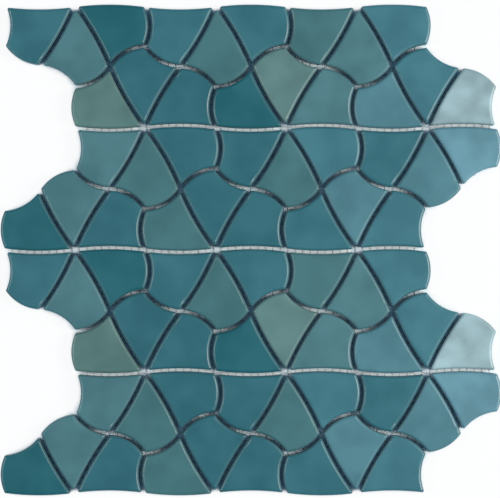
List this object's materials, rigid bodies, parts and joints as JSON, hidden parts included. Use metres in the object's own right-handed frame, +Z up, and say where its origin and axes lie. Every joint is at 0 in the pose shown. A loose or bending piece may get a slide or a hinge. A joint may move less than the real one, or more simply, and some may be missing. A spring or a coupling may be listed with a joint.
{
  "type": "mosaic tile sheet",
  "caption": "Flat sheet of small glazed ceramic tiles, curved kites that interlock in rows, held at an even joint by a glass fibre net on their backs, for bedding on a wall or floor.",
  "frame": {"origin": "middle of the sheet, on the underside of the net", "axes": "+X along the rows of tiles, +Y across the rows, towards row a, +Z up, the way the glazed faces look"},
  "size_m": [0.3012, 0.2954, 0.008],
  "materials": {
    "glaze_deep_teal": "satin glaze",
    "glaze_teal": "satin glaze",
    "glaze_lagoon": "satin glaze",
    "glaze_verdigris": "satin glaze",
    "glaze_harbour": "satin glaze",
    "glaze_slate": "satin glaze",
    "glaze_sky": "satin glaze",
    "glaze_sage": "satin glaze",
    "glaze_pale_sage": "satin glaze",
    "glaze_pale_sky": "satin glaze",
    "glaze_mist": "satin glaze",
    "net_yarn": "coated glass fibre scrim, matt"
  },
  "bodies": {
    "root": {"tiles_a1_e1": "glaze_lagoon", "tiles_a2_e2": "glaze_slate", "tiles_a3_e3": "glaze_deep_teal", "tiles_a4_e4": "glaze_lagoon", "tiles_a5_e5": "glaze_verdigris", "tiles_a6_e6": "glaze_lagoon", "tiles_a7_e7": "glaze_verdigris", "tiles_a8_e8": "glaze_slate", "tiles_a9_e9": "glaze_harbour", "tiles_b1_f1": "glaze_sage", "tiles_b2_f2": "glaze_teal", "tiles_b3_f3": "glaze_teal", "tiles_b4_f4": "glaze_deep_teal", "tiles_b5_f5": "glaze_pale_sage", "tiles_b6_f6": "glaze_slate", "tiles_b7_f7": "glaze_sky", "tiles_b8_f8": "glaze_harbour", "tiles_b9_f9": "glaze_mist", "tiles_c1_g1": "glaze_slate", "tiles_c2_g2": "glaze_verdigris", "tiles_c3_g3": "glaze_teal", "tiles_c4_g4": "glaze_teal", "tiles_c5_g5": "glaze_verdigris", "tiles_c6_g6": "glaze_harbour", "tiles_c7_g7": "glaze_lagoon", "tiles_c8_g8": "glaze_sky", "tiles_c9_g9": "glaze_pale_sky", "tiles_d1_h1": "glaze_deep_teal", "tiles_d2_h2": "glaze_slate", "tiles_d3_h3": "glaze_teal", "tiles_d4_h4": "glaze_verdigris", "tiles_d5_h5": "glaze_teal", "tiles_d6_h6": "glaze_teal", "tiles_d7_h7": "glaze_lagoon", "tiles_d8_h8": "glaze_sky", "tiles_d9_h9": "glaze_harbour", "net_warp": "net_yarn", "net_weft": "net_yarn"}
  },
  "joints": []
}
